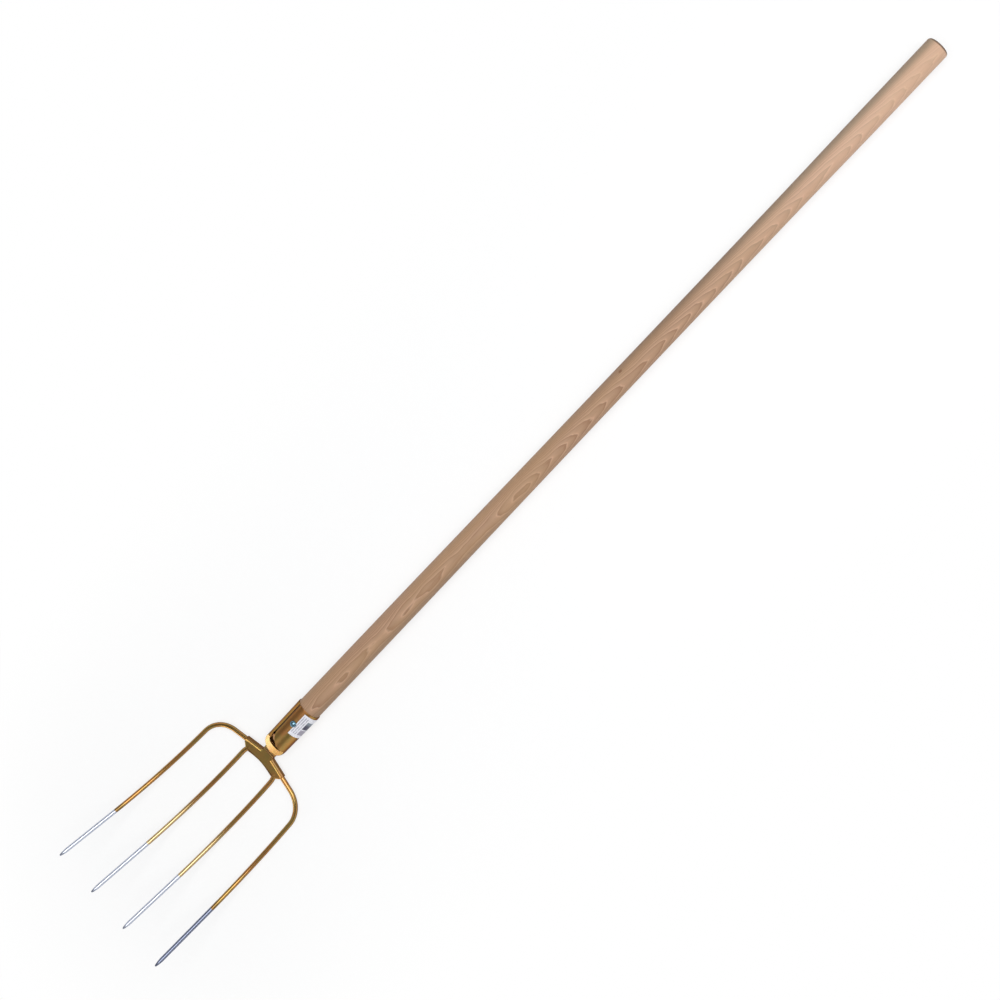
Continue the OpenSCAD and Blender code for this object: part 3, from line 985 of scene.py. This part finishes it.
def stem_root():
    """Short stem from the back of the bowl to the crosshead, as the hull of its ends."""
    end = [[x, y, z] for x in (PLATE_LEN, PLATE_LEN + STEM_ROOT)
           for y in (-STEM_W / 2, STEM_W / 2) for z in (-PLATE_T / 2, PLATE_T / 2)]
    points = list(on_crosshead(end))
    for x, r in bowl_outline(-WALL):
        for a in np.linspace(*STEM_SWEEP, STEM_STEPS):
            y, z = r * sind(a), r * cosd(a)
            if abs(y) < STEM_W / 2 + WALL and z < PLATE_T / 2 - STEM_DROP:
                points.append([x, y, z])
    obj = mesh_object("stem_root", points, [])
    shell = bmesh.new()
    shell.from_mesh(obj.data)
    bmesh.ops.convex_hull(shell, input=shell.verts)
    inside = [v for v in shell.verts if not v.link_faces]
    bmesh.ops.delete(shell, geom=inside, context="VERTS")
    shell.to_mesh(obj.data)
    shell.free()
    return obj


def over_saddle(points):
    """Points with z counted from the slope that climbs from the stem into the socket."""
    x, y, z = np.asarray(points, float).T
    return np.stack([x, y, SADDLE_Z + (x - SADDLE_X) * tand(SADDLE_SLOPE) + z], 1)


def at_angle(points, angle, depth):
    """Points drawn with z out of the socket, at an angle from the front and a depth below the mouth."""
    x, y, z = np.asarray(points, float).T
    return np.stack([x - depth, y * cosd(angle) + z * sind(angle), z * cosd(angle) - y * sind(angle)], 1)


def in_seam(points):
    return at_angle(points, SEAM_ANGLE, 0.0)


def socket(material):
    """Rolled sleeve with a bore, an open seam and two flaps that part over the saddle."""
    skin = [[-d, skin_r(d)] for d in np.linspace(0.0, TUBE_LEN, TUBE_STEPS)[:-1]] + bowl_outline(0.0)
    obj = turned("shown_socket", skin, SOCKET_SIDES)
    cut(obj, stem_root(), "UNION")
    cut(obj, turned("bore", [[d, skin_r(-d) - WALL] for d in (OVERRUN, -BORE_LEN)], SOCKET_SIDES))
    cut(obj, prism("opening", OPENING, 0.0, 2 * TUBE_END_R, over_saddle))
    cut(obj, prism("hollow", HOLLOW, -HOLLOW_DEPTH, OVERRUN, over_saddle))
    ledge = rectangle(PLATE_LEN + STEM_ROOT / 2, PLATE_LEN + STEM_ROOT + SADDLE_LEDGE, TUBE_END_R)
    cut(obj, prism("ledge", ledge, PLATE_T / 2, PLATE_T / 2 + TUBE_END_R, on_crosshead))
    slit = rectangle(-BORE_LEN, OVERRUN, SEAM_W / 2)
    cut(obj, prism("slit", slit, 0.0, MOUTH_R + OVERRUN, in_seam))
    forged(obj, SOCKET_VOXEL, SOCKET_ROUNDS, SOCKET_KEEP)
    return finished(obj, "socket", material, FORGED_SHARP_ANGLE)


# Handle, nail and label


def ease(t):
    """Smooth rise from 0 to 1."""
    return (1 - math.cos(math.pi * t)) / 2


def handle(material):
    """Turned handle: seated foot, long taper to the waist, straight grip with a rounded edge."""
    foot_end_r = FOOT_R - NARROWING * SEAT_DEPTH / TUBE_LEN
    outline = [[-SEAT_DEPTH, foot_end_r - FOOT_CHAMFER], [FOOT_CHAMFER - SEAT_DEPTH, foot_end_r]]
    outline += [[WAIST_START * t, FOOT_R + (WAIST_R - FOOT_R) * ease(t)]
                for t in np.linspace(0, 1, TAPER_STEPS)]
    outline += [[WAIST_END + (GRIP_START - WAIST_END) * t, WAIST_R + (GRIP_R - WAIST_R) * ease(t)]
                for t in np.linspace(0, 1, GRIP_STEPS)]
    outline += [[HANDLE_TOP - GRIP_EDGE_R * (1 - sind(a)), GRIP_R - GRIP_EDGE_R * (1 - cosd(a))]
                for a in np.linspace(0, 90, EDGE_STEPS)]
    return finished(turned("shown_handle", outline, HANDLE_SIDES), "handle", material)


def nail(material):
    """Domed head over a pointed shank."""
    seat = skin_r(NAIL_FROM_MOUTH)
    tip = seat - SHANK_LEN
    skirt = seat - NAIL_SKIRT
    profile = [(NAIL_TIP_R, tip), (SHANK_R, tip + NAIL_POINT), (SHANK_R, skirt)]
    profile += [(NAIL_HEAD_R - NAIL_EDGE, skirt), (NAIL_HEAD_R, skirt + NAIL_EDGE)]
    profile += [(NAIL_HEAD_R * cosd(a), seat + NAIL_HEAD_H * sind(a))
                for a in np.linspace(0.0, ROUND_END_ANGLE, DOME_STEPS)]
    points = [[r * math.cos(t), r * math.sin(t), z] for r, z in profile for t in circle(NAIL_SIDES)]
    faces = tube_faces(len(profile), NAIL_SIDES)
    obj = mesh_object("shown_socket_nail", at_angle(points, NAIL_ANGLE, NAIL_FROM_MOUTH), faces)
    return finished(obj, "socket_nail", material)


def nail_opening():
    """Rod as wide as the nail's head, to cut the label with."""
    points = [[NAIL_HEAD_R * math.cos(t), NAIL_HEAD_R * math.sin(t), z]
              for z in (0.0, 2 * MOUTH_R) for t in circle(NAIL_SIDES)]
    return mesh_object("opening", at_angle(points, NAIL_ANGLE, NAIL_FROM_MOUTH), tube_faces(2, NAIL_SIDES))


def label(material, steps=LABEL_STEPS):
    """Thin sheet bent round the socket, unrolled in its UV map and cut round the nail."""
    sweep = math.degrees(LABEL_W / skin_r(LABEL_FROM_MOUTH + LABEL_LEN))
    points, unrolled = [], []
    for lift in (LABEL_LIFT, LABEL_LIFT + LABEL_T):
        for i in range(steps + 1):
            for j in range(steps + 1):
                depth = LABEL_FROM_MOUTH + LABEL_LEN * i / steps
                angle = LABEL_ANGLE - sweep * j / steps
                r = skin_r(depth) + lift
                points.append([-depth, r * sind(angle), r * cosd(angle)])
                unrolled.append((i / steps, j / steps))

    def at(layer, i, j):
        return (layer * (steps + 1) + i) * (steps + 1) + j

    faces = [(at(k, i, j), at(k, i + 1, j), at(k, i + 1, j + 1), at(k, i, j + 1))
             for k in (0, 1) for i in range(steps) for j in range(steps)]
    for i in range(steps):
        faces += [(at(0, i, e), at(0, i + 1, e), at(1, i + 1, e), at(1, i, e)) for e in (0, steps)]
        faces += [(at(0, e, i), at(0, e, i + 1), at(1, e, i + 1), at(1, e, i)) for e in (0, steps)]
    obj = mesh_object("shown_label", points, faces)
    layer = obj.data.uv_layers.new(name="UVMap")
    for loop in obj.data.loops:
        layer.data[loop.index].uv = unrolled[loop.vertex_index]
    return finished(cut(obj, nail_opening()), "label", material)


# Stage


def floor():
    """Pale floor that rises into a round backdrop, and turns white away from the fork."""
    flat_r = FLOOR_R - COVE_R
    rings = [(r, 0.0) for r in (*FLOOR_RINGS, flat_r)]
    rings += [(flat_r + COVE_R * sind(a), COVE_R - COVE_R * cosd(a))
              for a in np.linspace(0, 90, COVE_STEPS)[1:]]
    rings.append((FLOOR_R, BACKDROP_H))
    points = [[r * math.cos(t), r * math.sin(t), z] for r, z in rings for t in circle(FLOOR_SIDES)]
    mesh = bpy.data.meshes.new("floor")
    walls = [face[::-1] for face in wall_faces(len(rings), FLOOR_SIDES)]
    mesh.from_pydata(points, [], walls + [list(range(FLOOR_SIDES))])
    mesh.shade_smooth()
    obj = bpy.data.objects.new("floor", mesh)
    bpy.context.scene.collection.objects.link(obj)
    material, tree = new_material("pale_floor")
    x, y = split(tree, node(tree, "ShaderNodeTexCoord").outputs["Object"])[:2]
    past_end = greatest(tree, calc(tree, "SUBTRACT", calc(tree, "ABSOLUTE", x), FORK_HALF_LEN), 0.0)
    away = between(tree, length(tree, past_end, y), *AWAY_FROM_FORK)
    path = node(tree, "ShaderNodeLightPath").outputs
    seen = greatest(tree, path["Is Camera Ray"], path["Is Glossy Ray"], path["Is Transmission Ray"])
    share = product(tree, seen, varied(tree, away, FLOOR_GLOW, 1 - FLOOR_GLOW))
    matt = node(tree, "ShaderNodeBsdfDiffuse", None, {"Color": FLOOR_COLOUR}).outputs[0]
    white = node(tree, "ShaderNodeEmission", None, {"Color": WHITE, "Strength": 1.0}).outputs[0]
    surface(tree, blended(tree, share, matt, white))
    mesh.materials.append(material)


def softbox(name, place, aim, width, depth, radiance):
    """Area light that faces a point, with a given brightness of its face."""
    lamp = bpy.data.lights.new(name, "AREA")
    lamp.shape = "RECTANGLE"
    lamp.size, lamp.size_y = width, depth
    lamp.energy = radiance * math.pi * width * depth
    obj = bpy.data.objects.new(name, lamp)
    bpy.context.scene.collection.objects.link(obj)
    obj.location = place
    obj.rotation_euler = (Vector(aim) - Vector(place)).to_track_quat("-Z", "Y").to_euler()
    obj.visible_camera = False


def light():
    """Pale sky and the lamps."""
    world = bpy.data.worlds.new("studio")
    bpy.context.scene.world = world
    world.use_nodes = True
    sky = world.node_tree.nodes["Background"].inputs
    sky["Color"].default_value = SKY_COLOUR
    sky["Strength"].default_value = SKY_STRENGTH
    for lamp in LAMPS:
        softbox(*lamp)


def camera():
    """Camera that sees the fork as the photo does."""
    view = bpy.data.cameras.new("camera")
    view.sensor_fit = "HORIZONTAL"
    view.sensor_width = SENSOR_W
    view.lens = CAMERA_LENS
    obj = bpy.data.objects.new("camera", view)
    bpy.context.scene.collection.objects.link(obj)
    sight = (Vector(CAMERA_AIM) - Vector(CAMERA_PLACE)).to_track_quat("-Z", "Y")
    obj.location = CAMERA_PLACE
    obj.rotation_euler = (sight @ Quaternion((0.0, 0.0, 1.0), math.radians(CAMERA_ROLL))).to_euler()
    bpy.context.scene.camera = obj


bpy.context.scene.view_settings.view_transform = "Standard"
bright_rods = tine_finish("lacquer_and_bright_steel", BRIGHT_STEEL)
# Painted shade: the right outer tine gets a darker copy of the steel
shaded_rods = tine_finish("lacquer_and_shaded_steel", SHADED_STEEL)
handle(wood())
socket(socket_finish())
crosshead(head_finish())
tine("outer_tine_left", outer_stations(), 1, bright_rods)
tine("inner_tine_left", inner_stations(), 1, bright_rods)
tine("inner_tine_right", inner_stations(), -1, bright_rods)
tine("outer_tine_right", outer_stations(), -1, shaded_rods)
nail(zinc())
label(paper())
floor()
light()
camera()
